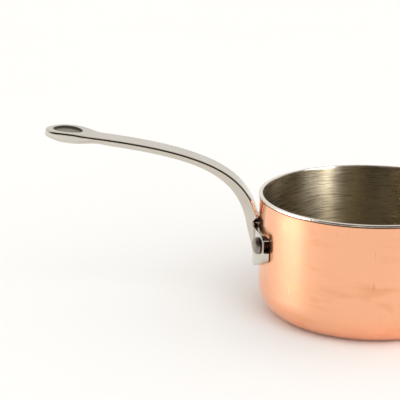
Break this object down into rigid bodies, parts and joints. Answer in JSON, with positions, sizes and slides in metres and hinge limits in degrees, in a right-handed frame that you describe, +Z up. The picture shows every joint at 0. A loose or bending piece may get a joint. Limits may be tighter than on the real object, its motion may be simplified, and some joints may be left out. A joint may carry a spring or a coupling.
{
  "type": "saucepan",
  "caption": "Round copper saucepan with a bonded steel lining, a flared lip and a long cast steel handle that is riveted on and ends in a hanging eye.",
  "frame": {"origin": "centre of the base's underside, on the surface that the pan stands on", "axes": "+Z up along the vessel's axis; the handle runs along -X; the object is symmetric about the plane Y = 0"},
  "size_m": [0.3237, 0.1662, 0.1381],
  "materials": {
    "copper": "polished copper with light scratches",
    "lining": "circular brushed",
    "casting": "polished cast stainless steel",
    "rivet": "satin, slightly darker than the casting",
    "collar": "dark satin"
  },
  "bodies": {
    "root": {"copper_body": "copper", "steel_lining": "lining", "cast_handle": "casting", "rivet_upper": "rivet", "rivet_lower_near": "rivet", "rivet_lower_far": "rivet", "collar_upper": "collar", "collar_lower_near": "collar", "collar_lower_far": "collar"}
  },
  "joints": []
}
